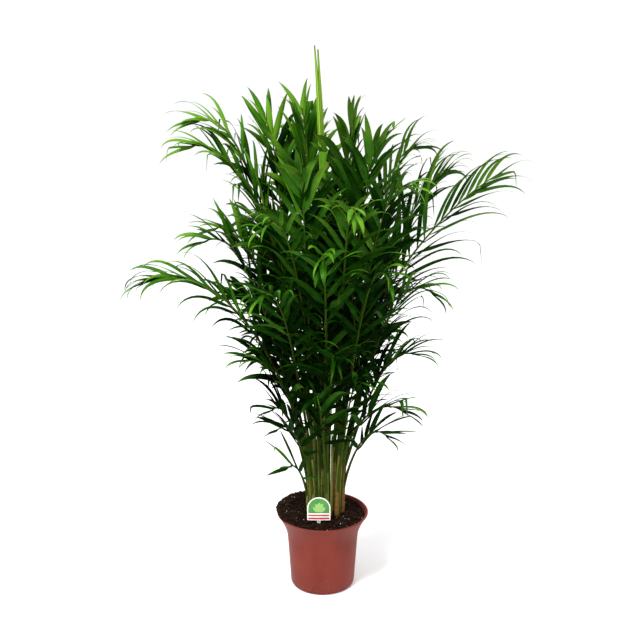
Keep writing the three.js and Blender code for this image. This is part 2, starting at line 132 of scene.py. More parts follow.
def grain(where, scale, stretch=(1, 1, 1), detail=2.0):
    """Cloudy noise from 0 to 1, at a scale per metre, drawn out by stretch."""
    drawn = where.node(
        "ShaderNodeMapping", {}, {"Vector": where, "Scale": [scale * s for s in stretch]}
    )
    return where.node(
        "ShaderNodeTexNoise", {}, {"Vector": drawn, "Scale": 1.0, "Detail": detail}, "Fac"
    )


def rise(value, low, high):
    """0 below low, 1 above high, and a smooth rise between them."""
    return value.node(
        "ShaderNodeMapRange",
        {"interpolation_type": "SMOOTHSTEP"},
        {"Value": value, "From Min": low, "From Max": high},
    )


def blend(share, first, second):
    """The first colour turning into the second as share goes from 0 to 1."""
    return share.node("ShaderNodeMix", {"data_type": "RGBA"}, {0: share, 6: first, 7: second}, 2)


def lay_on(relief, depth, inputs, see_through=0.0):
    """Ends a finish: its shader with a relief of depth metres, and a share that lets light by."""
    normal = relief.node("ShaderNodeBump", {}, {"Height": relief, "Distance": depth}, "Normal")
    shader = relief.node("ShaderNodeBsdfPrincipled", {}, {**inputs, "Normal": normal})
    if see_through:
        glow = relief.node(
            "ShaderNodeBsdfTranslucent", {}, {"Color": inputs["Base Color"], "Normal": normal}
        )
        shader = relief.node("ShaderNodeMixShader", {}, {0: see_through, 1: shader, 2: glow})
    relief.node("ShaderNodeOutputMaterial", {}, {"Surface": shader})


class Shell:
    """Gathers the closed skins of one piece. Each point carries six numbers that its finish reads:
    three as place and three as growth. On the fronds one growth number is the open sky above
    the point, which their finish paints as light and shade."""

    def __init__(self):
        self.points, self.faces, self.marks, self.count = [], [], [], 0

    def wrap(self, rings, marks=(0, 0, 0, 0, 0, 0)):
        """Joins a stack of rings, counter-clockwise about the way it goes, and closes its ends."""
        rings = np.asarray(rings, float)
        tall, sides = rings.shape[:2]
        here = self.count + np.arange(tall * sides).reshape(tall, sides)
        beside = np.roll(here, -1, axis=1)
        walls = np.stack([here[:-1], beside[:-1], beside[1:], here[1:]], -1)
        self.faces += walls.reshape(-1, 4).tolist()
        self.faces += [here[0, ::-1].tolist(), here[-1].tolist()]
        self.points.append(rings.reshape(-1, 3))
        self.marks.append(np.broadcast_to(marks, (tall, sides, 6)).reshape(-1, 6))
        self.count += tall * sides

    def build(self, name, finish, crease=50):
        """The piece in metres, smooth but for edges sharper than crease degrees."""
        mesh = bpy.data.meshes.new(name)
        mesh.from_pydata((np.concatenate(self.points) * 0.001).tolist(), [], self.faces)
        marks = np.concatenate(self.marks)
        for word, numbers in (("place", marks[:, :3]), ("growth", marks[:, 3:])):
            layer = mesh.attributes.new(word, "FLOAT_VECTOR", "POINT")
            layer.data.foreach_set("vector", numbers.astype(np.float32).ravel())
        mesh.shade_smooth()
        mesh.set_sharp_from_angle(angle=math.radians(crease))
        mesh.materials.append(finish)
        piece = bpy.data.objects.new(name, mesh)
        bpy.context.scene.collection.objects.link(piece)
        return piece


def circle(sides, radius=1.0, height=0.0):
    """Points round the Z axis, counter-clockwise, at a radius that may change round it."""
    turn = np.arange(sides) / sides * 2 * math.pi
    radius = np.broadcast_to(radius, sides)
    height = np.broadcast_to(height, sides)
    return np.stack([radius * np.cos(turn), radius * np.sin(turn), height], -1)


def bezier(controls, t):
    """Points of a Bezier curve of any degree, at each t."""
    controls = np.asarray(controls, float)
    t = np.asarray(t, float)[:, None]
    degree = len(controls) - 1
    return sum(
        math.comb(degree, i) * (1 - t) ** (degree - i) * t**i * controls[i]
        for i in range(degree + 1)
    )


def pot_side(inset):
    """The wall from the foot to just under the lip, as (radius, height), moved in by inset."""
    flare = bezier(POT_FLARE, np.linspace(0, 1, 17)) + np.linspace((0, 0.3), (0, 0.9), 17) * inset
    flare[:, 0] -= inset
    foot = POT_FOOT_RADIUS
    straight = [(foot + 0.5, 0), (foot + 3.2, 0.7), (foot + 5.4, 2.6), (foot + 7, 5.6)]
    straight += [(foot + 7.9, 9.5), (foot + 11.2, 60), (foot + 15.2, 122), (foot + 15.7, 134)]
    straight += [(foot + 15.75, 135.4), (foot + 16.5, 136.2)]
    lifted = [(r - inset, z + inset * max(0.1, 1 - z / 12)) for r, z in straight]
    return lifted + flare.tolist()


foot_ring = POT_FOOT_RADIUS - 12
foot_line = [(27, 0), (28.4, 0.4), (30.6, 2.6), (32, POT_FLOOR_LIFT)]
foot_line += [(foot_ring - 4, POT_FLOOR_LIFT), (foot_ring - 2.6, 2.6), (foot_ring - 0.6, 0.4)]
foot_line += [(foot_ring + 0.8, 0)]
lip_turn = np.linspace(-0.9, math.pi - 0.1, 11)
lip_out, lip_up = POT_LIP_RADII
lip = np.stack([lip_out * np.cos(lip_turn), lip_up * np.sin(lip_turn)], -1) + POT_LIP
floor_line = [(r, z + POT_WALL) for r, z in reversed(foot_line)]
pot_line = foot_line + pot_side(0)[:-1] + lip.tolist() + pot_side(POT_WALL)[-3::-1] + floor_line

pot_shell = Shell()
pot_shell.wrap([circle(POT_SIDES, r, z) for r, z in pot_line])

pot_finish, start = new_finish("terracotta_polypropylene")
where = start.node("ShaderNodeTexCoord", output=EVERYWHERE)
height = axis(where, "Z")
clouds = grain(where, 16, (1, 1, 0.6), 3.0)
streaks = grain(where, 240, (1, 1, 0.05), 3.0)
scuffs = rise(grain(where, 60, (1, 1, 3.5), 5.0), 0.62, 0.74) * rise(streaks, 0.45, 0.65)
dust = (1 - rise(height, 0.0, 0.05)) * rise(grain(where, 90, detail=4.0), 0.4, 0.8)
plastic = blend(rise(clouds, 0.3, 0.7), TERRACOTTA_SHADE, TERRACOTTA)
plastic = blend(scuffs * 0.35, plastic, SCUFF)
plastic = blend(dust * 0.5, plastic, POT_DUST)
lay_on(
    grain(where, 900, detail=1.0) * 0.4 + streaks * 0.6 + scuffs,
    0.00012,
    {
        "Base Color": plastic,
        "Roughness": 0.42 + 0.12 * clouds + 0.2 * scuffs + 0.2 * dust,
        "Specular IOR Level": 0.1,
    },
)

pot = pot_shell.build("moulded_pot", pot_finish, crease=35)
drill_shell = Shell()
for hole in range(DRAIN_HOLES):
    turn = (hole + 0.5) / DRAIN_HOLES * 2 * math.pi
    middle = np.array([math.cos(turn), math.sin(turn), 0]) * DRAIN_RING_RADIUS
    drill_shell.wrap([circle(24, DRAIN_HOLE_RADIUS, z) + middle for z in (-5, 12)])
drill = drill_shell.build("drain_drill", pot_finish)
drilled = pot.modifiers.new("drain_holes", "BOOLEAN")
drilled.object, drilled.operation, drilled.solver = drill, "DIFFERENCE", "EXACT"
bpy.context.view_layer.update()
pot.data = bpy.data.meshes.new_from_object(
    pot.evaluated_get(bpy.context.evaluated_depsgraph_get())
)
pot.modifiers.clear()
bpy.data.objects.remove(drill)
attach(pot, "root")
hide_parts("pot")

# ------------------------------------------------------------------------------- potting mix
# Dark, moist peat and bark, pressed in round the plant and heaped up under it. It is banked up over
# the lip at the back left and lies a finger lower on the right. White perlite, bits of bark and
# crumbs lie on it, and some of them have spilled over the lip.

MIX_GAP = 0.4  # between the mix and the pot's inside
MIX_HEAP_HEIGHT = 208
MIX_HEAP_SLOPE = 0.42  # the share of its radius over which the heap rises
MIX_EDGE_HEIGHT, MIX_EDGE_TILT, MIX_EDGE_TURN, MIX_EDGE_LUMPS = 199, 5.5, 2.8, 2.5
MIX_BANK, MIX_BANK_TURN = 12, 2.6  # how high it is banked up at the back left, and where
MIX_BANK_MIDDLE, MIX_BANK_WIDTH = 0.86, 0.22  # as shares of the mix's radius
MIX_CLODS = ((17, 4.2), (8, 3.0), (3.6, 1.8))  # how wide they are, and how high
MIX_SIDES, MIX_RINGS = 200, 62
CRUMBS, BARK_CHIPS, PERLITE_GRAINS, LIP_CRUMBS = 1500, 260, 90, 330
LIP_CRUMB_TURN, LIP_CRUMB_SPREAD = 2.75, 0.5

PEAT_DARK = (0.0050, 0.0028, 0.0020, 1)
PEAT_BROWN = (0.024, 0.0112, 0.006, 1)
BARK = (0.085, 0.042, 0.020, 1)
PERLITE = (0.62, 0.60, 0.55, 1)

dice = random.Random(11)
inside_line = np.array([(r, z) for r, z in pot_side(POT_WALL + MIX_GAP) if z > 8])


def mix_edge(turn):
    """How high the mix lies against the pot's wall, for an angle round the pot."""
    lumps = noise.noise(Vector((math.cos(turn) * 2.2, math.sin(turn) * 2.2, 4)))
    return MIX_EDGE_HEIGHT + MIX_EDGE_TILT * math.cos(turn - MIX_EDGE_TURN) + MIX_EDGE_LUMPS * lumps


def inside_radius(height):
    """How far out the mix reaches at a height."""
    return np.interp(height, inside_line[:, 1], inside_line[:, 0])


def mix_height(x, y):
    """The height of the mix's surface, with its clods."""
    turn = math.atan2(y, x)
    edge = mix_edge(turn)
    reach = math.hypot(x, y) / float(inside_radius(edge))
    climb = min(max((1 - reach) / MIX_HEAP_SLOPE, 0), 1)
    climb = climb * climb * (3 - 2 * climb)
    clods = sum(
        high * noise.noise(Vector((x / wide, y / wide, wide))) for wide, high in MIX_CLODS
    )
    settle = min(1, (1 - min(reach, 1)) * 9 + 0.25)
    bank = max(1 - ((reach - MIX_BANK_MIDDLE) / MIX_BANK_WIDTH) ** 2, 0)
    bank *= MIX_BANK * max(math.cos(turn - MIX_BANK_TURN), 0)
    return edge + (MIX_HEAP_HEIGHT - edge) * climb + bank + clods * settle


mix_shell = Shell()
around = np.arange(MIX_SIDES) / MIX_SIDES * 2 * math.pi
edges = np.array([mix_edge(a) for a in around])
rings = [circle(MIX_SIDES, POT_FOOT_RADIUS - 1, POT_FLOOR_LIFT + POT_WALL + MIX_GAP)]
for share in np.linspace(0.04, 0.97, 12):
    level = 6 + (edges - 6) * share
    rings.append(circle(MIX_SIDES, inside_radius(level), level))
for share in np.linspace(1, 0.02, MIX_RINGS):
    ring = circle(MIX_SIDES, inside_radius(edges) * share)
    ring[:, 2] = [mix_height(x, y) for x, y, _ in ring]
    rings.append(ring)
mix_shell.wrap(rings)


def scatter_bit(size, flat, long, lifted, kind, turn=None, reach=None):
    """One loose bit on the mix: a lumpy grain, drawn out by long, pressed flat and lifted clear."""
    if turn is None:
        turn, reach = dice.uniform(0, 2 * math.pi), math.sqrt(dice.uniform(0.0, 0.95))
    radius = reach * float(inside_radius(mix_edge(turn))) - size * 0.5
    x, y = radius * math.cos(turn), radius * math.sin(turn)
    lay = dice.uniform(0, math.pi)
    rows = []
    for level in (-0.8, -0.2, 0.45, 0.9):
        ring = circle(7, math.sqrt(1 - level * level)) * [dice.uniform(0.8, 1.2) for _ in "xyz"]
        ring[:, :2] *= [[dice.uniform(0.8, 1.25)] for _ in range(7)]
        ring[:, 2] = level * flat * dice.uniform(0.8, 1.2) + ring[:, 0] * 0.2 * dice.uniform(-1, 1)
        rows.append(ring * (long, 1, 1))
    rows = np.array(rows) * size
    turned = rows.copy()
    turned[..., 0] = rows[..., 0] * math.cos(lay) - rows[..., 1] * math.sin(lay)
    turned[..., 1] = rows[..., 0] * math.sin(lay) + rows[..., 1] * math.cos(lay)
    place = (x, y, mix_height(x, y) + size * flat * lifted)
    mix_shell.wrap(turned + place, (0, 0, 0, kind, dice.random(), 0))


for _ in range(CRUMBS):
    scatter_bit(dice.uniform(0.9, 3.2) * dice.uniform(0.6, 1.3), 0.8, 1.1, 0.4, 0.0)
for _ in range(BARK_CHIPS):
    scatter_bit(dice.uniform(0.6, 1.7), 0.45, dice.uniform(1.5, 3.4), 0.8, 0.5)
for _ in range(PERLITE_GRAINS):
    scatter_bit(dice.uniform(0.5, 1.3), 0.8, 1.1, 0.6, 1.0)
for _ in range(LIP_CRUMBS):
    turn = dice.gauss(LIP_CRUMB_TURN, LIP_CRUMB_SPREAD)
    reach = dice.uniform(0.98, 1.075 - 0.05 * abs(turn - LIP_CRUMB_TURN))
    scatter_bit(dice.uniform(1.6, 4.2), 0.8, 1.1, 0.2, 0.0, turn, reach)

mix_finish, start = new_finish("moist_peat")
where = start.node("ShaderNodeTexCoord", output=EVERYWHERE)
growth = carried(start, "growth")
bit = axis(growth, "X")
shade = axis(growth, "Y")
clods = grain(where, 110, detail=4.0)
fibres = grain(where, 700, (1, 0.35, 1), 3.0)
peat = blend(rise(clods + 0.35 * shade, 0.35, 0.95), PEAT_DARK, PEAT_BROWN)
peat = blend(rise(fibres, 0.62, 0.8) * 0.5, peat, BARK)
peat = blend(rise(bit, 0.3, 0.45) * (0.35 + 0.5 * shade), peat, BARK)
peat = blend(rise(bit, 0.7, 0.9), peat, PERLITE)
lay_on(
    clods * 0.6 + fibres * 0.4,
    0.0012,
    {"Base Color": peat, "Roughness": 0.72 + 0.2 * clods, "Specular IOR Level": 0.03},
)
mix = mix_shell.build("peat_heap", mix_finish, crease=80)
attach(mix, "root")
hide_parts("potting_mix")

# ------------------------------------------------------------------------------- canes
# Sixteen slim canes stand in the mix in two rings round a middle one, most of them with a thin
# side shoot. Each is a jointed trunk wrapped in the tubular bases of its leaves, so it steps in
# where a leaf has left it. A few have dried to orange-brown, the rest are striped green. The
# yellow and dark streaks are partly painted highlights and painted shade, so that each cane
# reads as a bundle of thin stems.

CANE_RADIUS, CANE_TOP_RADIUS, CANE_DEPTH = 7.2, 5.0, 62
SHOOT_RADIUS, SHOOT_TIP_RADIUS, SHOOT_REACH = 4.4, 2.6, 1.12
CLUMP = (8, 0, MIX_HEAP_HEIGHT - CANE_DEPTH)  # where the middle cane stands
FREE_GAP = 0.3  # between pieces that have grown side by side
SHEATH_STEP, SHEATH_RIM = 0.55, 0.012  # how thick a leaf base is, and its rim's share of the cane
SCARS_FROM, SCARS_TO, SCAR_WIDTH, SCAR_PITCH = 0.30, 0.62, 0.006, 0.075
CANE_SIDES, CANE_STEPS = 24, 96
# Each ring of canes: its name, count, radius, first azimuth in degrees, height and lean.
CANE_RINGS = [
    ("centre", 1, 0, 0, 330, 0),
    ("inner", 5, 23, 36, 265, 0.03),
    ("outer", 10, 45, 18, 185, 0.05),
]
DRIED_CANES = ["outer_9", "outer_10", "inner_5", "outer_2"]

CANE_GREEN = (0.042, 0.072, 0.009, 1)
# CANE_YELLOW streaks are partly painted highlights, and CANE_DARK streaks are partly painted shade
# between thin stems.
CANE_YELLOW = (0.15, 0.18, 0.032, 1)
CANE_DARK = (0.007, 0.016, 0.003, 1)
CANE_STRAW = (0.15, 0.075, 0.018, 1)
CANE_SCAR = (0.05, 0.030, 0.013, 1)

UP = np.array([0.0, 0.0, 1.0])


def wobble(seed):
    """A fixed number from -1 to 1 for each seed, so that no two pieces grow quite alike."""
    swing = math.sin(seed * 12.9898) * 43758.5453
    return 2 * (swing - math.floor(swing)) - 1


def unit(vectors):
    """The same directions with length 1."""
    return vectors / np.linalg.norm(vectors, axis=-1, keepdims=True)


class Stem:
    """A curved stem, read by its own length from 0 at its foot to 1 at its tip."""

    def __init__(self, controls, sideways):
        self.controls, self.sideways = controls, sideways
        self.steps = np.linspace(0, 1, 201)
        reach = np.linalg.norm(np.diff(bezier(controls, self.steps), axis=0), axis=1)
        self.lengths = np.concatenate([[0], np.cumsum(reach)])

    def at(self, shares):
        """The stem's middle at each share of its length."""
        t = np.interp(np.atleast_1d(shares) * self.lengths[-1], self.lengths, self.steps)
        return bezier(self.controls, t)

    def along(self, shares):
        """The way the stem goes at each share of its length."""
        shares = np.clip(np.atleast_1d(shares), 0.001, 0.999)
        return unit(self.at(shares + 0.001) - self.at(shares - 0.001))

    def rings(self, shares, radii, sides):
        """Rings round the stem. radii holds one radius a ring, or one a point."""
        along = self.along(shares)
        over = unit(np.cross(self.sideways, along))
        radii = np.broadcast_to(np.reshape(radii, (len(shares), -1)), (len(shares), sides))
        turn = np.arange(sides) / sides * 2 * math.pi
        out = np.cos(turn)[:, None] * over[:, None] + np.sin(turn)[:, None] * -self.sideways
        return self.at(shares)[:, None] + radii[..., None] * out


canes = {}
for ring_name, count, radius, first, tall, lean in CANE_RINGS:
    for i in range(count):
        seed = radius + i
        turn = math.radians(first + i / count * 360 + 5 * wobble(seed))
        outward = np.array([math.cos(turn), math.sin(turn), 0])
        length = tall * (1 + 0.12 * wobble(seed + 0.3)) + CANE_DEPTH
        foot = np.array(CLUMP) + outward * radius * (1 + 0.05 * wobble(seed + 0.6))
        top = foot + UP * length + outward * length * lean
        cane_name = ring_name if count == 1 else f"{ring_name}_{i + 1}"
        canes[cane_name] = Stem([foot, foot + UP * length * 0.55, top], np.cross(outward, UP))
shoots = {}
for cane_name, cane in canes.items():
    ring_name, _, number = cane_name.partition("_")
    count = sum(other.startswith(ring_name) for other in canes)
    beside = canes[f"{ring_name}_{int(number) % count + 1}"] if number else cane
    foot, middle, top = cane.controls
    aside = (beside.controls[0] - foot) / 2
    if np.linalg.norm(aside) > CANE_RADIUS + SHOOT_RADIUS + 2 * FREE_GAP:
        start = foot + 0.3 * aside + 4 * UP
        tip = foot + SHOOT_REACH * (top - foot) + aside
        line = [start, foot + aside + 28 * UP, middle + aside, tip]
        shoots[cane_name] = Stem(line, cane.sideways)

# One row a frond: the cane and how far up it the frond leaves, the stalk's tip, how far above
# that tip the stalk arches, how far the frond is rolled about its stalk (radians), the pairs
# of leaflets, the longest leaflet, the broadest, how limply the leaflets hang (0 to 1), how wide
# the frond has opened (1 is fully) and how far the stalk splays from its cane.
FRONDS = [
    # the outline that shows from the front
    ("inner_1", 0.98, (427, 30, 1090), -100, 1.15, 17, 235, 11, 0.5, 0.75, 0.13),
    ("outer_6", 0.95, (-430, -95, 850), 76, 0.35, 20, 185, 12, 0.6, 0.7, 0.13),
    ("inner_3", 1.0, (-302, -50, 1226), 62, 0.55, 24, 195, 13, 0.4, 0.85, 0.13),
    ("inner_4", 0.95, (-312, -105, 1172), 52, 0.5, 24, 195, 12, 0.4, 0.85, 0.13),
    ("inner_5", 0.82, (68, -345, 1050), 92, 0.1, 16, 165, 15, 0.4, 1, 0.13),
    ("outer_8", 0.96, (-4, -330, 940), 96, -0.1, 13, 150, 17, 0.6, 1, 0.13),
    ("centre", 0.88, (-52, 62, 1250), -90, 0.1, 24, 200, 18, 0.05, 0.9, 0.2),
    ("centre", 0.74, (72, 10, 1220), -70, 0.8, 24, 200, 19, 0.05, 0.9, 0.2),
    ("inner_3", 0.8, (-148, 50, 1226), -16, 0.6, 24, 200, 17, 0.1, 0.9, 0.2),
    ("inner_1", 0.8, (238, 100, 1146), 44, 1.0, 28, 200, 12, 0.6, 0.85, 0.2),
    ("inner_5", 0.66, (200, -190, 1085), 66, 0.3, 24, 175, 14, 0.45, 1, 0.2),
    ("outer_10", 0.96, (262, -115, 826), 70, 0.3, 22, 170, 11, 0.4, 1, 0.13),
    ("outer_5", 0.97, (-272, 22, 956), 56, 0.5, 20, 178, 13, 0.35, 0.85, 0.13),
    ("outer_5", 0.78, (-290, -64, 940), 60, 0.3, 20, 182, 13, 0.35, 0.85, 0.2),
    ("outer_7", 0.76, (-184, -110, 658), 14, 0.1, 13, 170, 15, 0.2, 0.9, 0.13),
    ("outer_1", 0.7, (206, 12, 800), 10, 0.5, 20, 160, 12, 0.4, 0.9, 0.13),
    ("outer_10", 0.78, (226, -58, 656), 24, 0.2, 13, 170, 13, 0.3, 0.9, 0.2),
    ("outer_9", 0.76, (196, -104, 524), 40, 0.2, 9, 160, 14, 0.3, 0.9, 0.13),
    ("outer_10", 0.5, (160, -74, 446), 36, 0.2, 7, 135, 14, 0.1, 0.9, 0.13),
    ("outer_6", 0.6, (-128, -70, 514), 22, 0.2, 9, 145, 14, 0.1, 0.9, 0.13),
    ("outer_7", 0.5, (-112, -118, 480), 24, 0.1, 7, 120, 14, 0, 1, 0.13),
    ("outer_6", 0.36, (-86, -52, 352), 10, 0.1, 4, 140, 13, 0, 1, 0.13),
    # the front and the middle
    ("inner_5", 0.99, (130, -92, 1180), -40, 0.4, 24, 195, 17, 0.1, 0.9, 0.13),
    ("inner_4", 0.78, (-128, -262, 1010), 80, -0.2, 17, 165, 13, 0.5, 1, 0.2),
    ("outer_9", 0.98, (150, -262, 890), 84, 0.2, 16, 160, 13, 0.5, 1, 0.13),
    ("outer_7", 0.99, (-150, -246, 840), 76, -0.2, 16, 160, 13, 0.5, 1, 0.13),
    ("outer_8", 0.7, (30, -216, 690), 50, 0.1, 19, 155, 13, 0.4, 1, 0.13),
    ("inner_4", 0.62, (-60, -170, 1120), 20, -0.3, 22, 180, 18, 0.15, 1, 0.3),
    ("outer_8", 0.45, (-24, -150, 570), 36, 0, 11, 135, 14, 0.3, 1, 0.13),
    ("outer_9", 0.5, (96, -150, 610), 30, 0.2, 11, 135, 14, 0.3, 1, 0.13),
    # the back and the sides
    ("inner_2", 0.98, (-70, 262, 1168), 40, 0.3, 26, 180, 17, 0.25, 1, 0.13),
    ("inner_2", 0.8, (84, 318, 1060), 76, -0.2, 24, 180, 17, 0.4, 1, 0.13),
    ("outer_1", 0.98, (322, 160, 1080), -16, 1.1, 30, 228, 12, 0.5, 0.8, 0.13),
    ("outer_2", 0.97, (170, 300, 880), 84, -0.3, 25, 170, 17, 0.5, 1, 0.13),
    ("outer_2", 0.76, (150, 196, 640), 40, 0.2, 21, 155, 17, 0.3, 1, 0.13),
    ("outer_3", 0.97, (-14, 348, 860), 96, 0.2, 25, 170, 17, 0.5, 1, 0.13),
    ("outer_3", 0.7, (30, 210, 560), 44, -0.1, 20, 145, 17, 0.3, 1, 0.13),
    ("outer_4", 0.97, (-210, 268, 930), 84, -0.4, 25, 170, 17, 0.5, 1, 0.13),
    ("outer_4", 0.76, (-150, 172, 650), 40, 0.2, 21, 155, 17, 0.3, 1, 0.13),
    ("outer_5", 0.6, (-225, 70, 770), 50, 0.3, 20, 160, 17, 0.3, 1, 0.2),
]

cane_finish, start = new_finish("cane_skin")
where = start.node("ShaderNodeTexCoord", output=EVERYWHERE)
place = carried(start, "place")
growth = carried(start, "growth")
up_cane = axis(place, "X")
sheath_rim = axis(place, "Y")
scar = axis(place, "Z")
shade = axis(growth, "X")
dried = axis(growth, "Y")
strands_and_painted_shade = grain(where, 420, (1, 1, 0.02), 2.0)
ribs_and_painted_highlights = grain(where, 150, (1, 1, 0.03), 1.0)
clouds = grain(where, 60, (1, 1, 0.3), 3.0)
# partly painted light and shade: the yellow streaks stand for highlights on thin stems and the dark
# streaks for the shade between them, over the canes' own green
skin = blend(rise(ribs_and_painted_highlights + 0.3 * shade, 0.45, 0.75), CANE_GREEN, CANE_YELLOW)
skin = blend(rise(strands_and_painted_shade, 0.52, 0.72) * 0.75, skin, CANE_DARK)
skin = blend(rise(dried + 0.5 * clouds - 0.35 * up_cane, 0.35, 0.75), skin, CANE_STRAW)
skin = blend(sheath_rim * 0.7, skin, CANE_STRAW)
skin = blend(scar * 0.7, skin, CANE_SCAR)
lay_on(
    strands_and_painted_shade * 0.5 + ribs_and_painted_highlights * 0.5,
    0.0006,
    {"Base Color": skin, "Roughness": 0.42 + 0.2 * clouds, "Specular IOR Level": 0.04},
)

for cane_name, cane in canes.items():
    seed = sum(ord(letter) for letter in cane_name)
    shares = np.linspace(0, 1, CANE_STEPS)
    turn = np.arange(CANE_SIDES) / CANE_SIDES * 2 * math.pi
    radii = CANE_RADIUS + (CANE_TOP_RADIUS - CANE_RADIUS) * shares
    radii = np.repeat(radii[:, None], CANE_SIDES, 1)
    radii *= 0.94 + 0.035 * np.cos(3 * turn + seed) + 0.02 * np.cos(7 * turn + 2 * seed)
    rims = np.zeros_like(radii)
    for row in FRONDS:
        if row[0] != cane_name or row[1] > 0.99:
            continue
        toward = math.atan2(row[2][1] - cane.controls[0][1], row[2][0] - cane.controls[0][0])
        facing = math.atan2(cane.sideways[0], -cane.sideways[1])  # where ring point 0 lies
        opening = row[1] - 0.09 + 0.07 * np.cos(turn - (toward - facing))
        beyond = (shares[:, None] - opening) / SHEATH_RIM
        radii -= SHEATH_STEP * np.clip(beyond, 0, 1)
        rims = np.maximum(rims, np.exp(-(beyond**2)))
    scars = np.zeros_like(shares)
    scar_at = SCARS_FROM + 0.03 * wobble(seed)
    while scar_at < SCARS_TO:
        scars = np.maximum(scars, np.exp(-(((shares - scar_at) / SCAR_WIDTH) ** 2)))
        scar_at += (SCAR_PITCH + 0.02 * wobble(seed + scar_at * 9)) * 265 / cane.lengths[-1]
    radii += SHEATH_STEP * scars[:, None]
    marks = np.zeros((CANE_STEPS, CANE_SIDES, 6))
    marks[..., 0], marks[..., 1], marks[..., 2] = shares[:, None], rims, scars[:, None]
    marks[..., 3] = 0.5 + 0.5 * wobble(seed + 0.5)
    marks[..., 4] = 0.55 if cane_name in DRIED_CANES else 0.14 + 0.12 * wobble(seed + 0.8)
    cane_shell = Shell()
    cane_shell.wrap(cane.rings(shares, radii, CANE_SIDES), marks)
    if cane_name in shoots:
        radii = SHOOT_RADIUS + (SHOOT_TIP_RADIUS - SHOOT_RADIUS) * shares[:, None]
        radii = radii * (0.95 + 0.04 * np.cos(3 * turn + seed)) * (1 - 0.7 * shares[:, None] ** 14)
        marks = np.zeros((CANE_STEPS, CANE_SIDES, 6))
        marks[..., 0] = shares[:, None]
        marks[..., 3] = 0.5 + 0.5 * wobble(seed + 2.5)
        marks[..., 4] = 0.3 + 0.3 * wobble(seed + 2.8)
        cane_shell.wrap(shoots[cane_name].rings(shares, radii, CANE_SIDES), marks)
    piece = cane_shell.build(f"cane_{cane_name}_skin", cane_finish)
    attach(piece, "root")
    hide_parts(f"cane_{cane_name}")

# ------------------------------------------------------------------------------- spear leaf
# The newest leaf stands straight up from the middle cane, still folded shut like a fan. Its two
# halves have just parted at the tip. It is paler and yellower than the grown fronds.

SPEAR_TIPS = [(-20, 0, 1398), (-12, 6, 1389)]
SPEAR_RADII = [4.4, 4.4, 5, 6.6, 6, 1.8]  # at even steps from its foot to its tip
SPEAR_SIDES, SPEAR_STEPS = 28, 90

SPEAR_PALE = (0.20, 0.34, 0.030, 1)
SPEAR_GREEN = (0.085, 0.19, 0.012, 1)
LEAF_DRY = (0.080, 0.055, 0.016, 1)

spear_finish, start = new_finish("young_leaf_skin")
where = start.node("ShaderNodeTexCoord", output=EVERYWHERE)
place = carried(start, "place")
up_spear = axis(place, "X")
pleat = axis(place, "Y")
lines = grain(where, 600, (1, 1, 0.012), 2.0)
clouds = grain(where, 40, (1, 1, 0.3))
fresh = blend(rise(pleat + 0.5 * lines, 0.5, 1.1), SPEAR_GREEN, SPEAR_PALE)
fresh = blend(rise(up_spear + 0.1 * clouds, 0.99, 1.1), fresh, LEAF_DRY)
fresh = blend((1 - rise(up_spear, 0.0, 0.6)) * 0.4, fresh, CANE_GREEN)
lay_on(
    lines,
    0.0004,
    {"Base Color": fresh, "Roughness": 0.36 + 0.15 * clouds, "Specular IOR Level": 0.1},
)

spear_shell = Shell()
spear_foot = canes["centre"].at(1)[0] + UP * FREE_GAP
spear_halves = []
for tip in SPEAR_TIPS:
    bend = spear_foot * (1, 1, 0) + UP * (spear_foot[2] + tip[2]) * 0.55
    stem = Stem([spear_foot, bend, np.array(tip, float)], np.array([0.0, 1.0, 0.0]))
    spear_halves.append(stem)
    shares = np.linspace(0, 1, SPEAR_STEPS)
    turn = np.arange(SPEAR_SIDES) / SPEAR_SIDES * 2 * math.pi
    radii = np.interp(shares, np.linspace(0, 1, len(SPEAR_RADII)), SPEAR_RADII)
    ridges = 0.5 + 0.5 * np.cos(5 * turn[None] + 5 * shares[:, None] + tip[1])
    marks = np.zeros((SPEAR_STEPS, SPEAR_SIDES, 6))
    marks[..., 0], marks[..., 1] = shares[:, None], ridges
    spear_shell.wrap(
        stem.rings(shares, radii[:, None] * (0.82 + 0.2 * ridges), SPEAR_SIDES), marks
    )
spear = spear_shell.build("furled_leaf", spear_finish)
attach(spear, "root")
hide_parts("spear_leaf")

# ------------------------------------------------------------------------------- fronds
# Each frond is one grown leaf: a stalk that bends over under its own weight, bare low down, and
# along its outer part two rows of narrow leaflets. A leaflet is folded down along its midrib,
# leaves the stalk forwards and upwards, and droops to a fine, often dry, point.

STALK_RADIUS, STALK_TIP_RADIUS, STALK_SIDES, STALK_STEPS = 4.2, 1.5, 10, 44
STALK_OVER = 0.58  # the share of its reach where a stalk turns over
BARE_STALK = (500, 900), (0.5, 0.32)  # the share without leaflets, for tips this high
LEAFLET_STEPS = np.array([0, 0.03, 0.07, 0.13, 0.2, 0.3, 0.4, 0.5, 0.6, 0.7, 0.79, 0.87, 0.94, 1])
LEAFLET_COARSE = np.array([0.03, 0.2, 0.4, 0.6, 0.8, 1])
SKY_STEPS = [5, 9, 12]  # the steps of a leaflet where the open sky is measured
STALK_SKY_SHARES = (0.3, 0.6, 0.9)  # and the shares of a stalk
LEAFLET_THICKNESS = 0.45
LEAFLET_BENDS, LEAFLET_STEEPEST, LEAFLET_FOLD = 40, -1.45, 2.5
NECK_LENGTH, NECK_WIDTH = 0.22, 0.22  # of a leaflet, as shares of its length and width
# Each of these runs from the first leaflet of a frond to the last, in radians.
LEAFLET_SPREAD, LEAFLET_LIFT = (0.95, 0.3), (0.5, 0.15)
# The widths, in mm, between which a leaflet goes from tapering to keeping its width, and the
# power of its taper at both.
LEAFLET_FULLNESS = (11, 18), (2.2, 5)
# Round a leaflet from its midrib over its right half, its underside and its left half:
# the place across (1 is the edge), how far the fold has dropped there, and the underside.
BLADE_ACROSS = np.array([0, 0.5, 1, 0.5, 0, -0.5, -1, -0.5])
BLADE_DROP = np.array([0, 0.42, 1, 0.42, 0, 0.42, 1, 0.42])
BLADE_UNDER = np.array([0, 0, 0.5, 1, 1, 1, 0.5, 0])
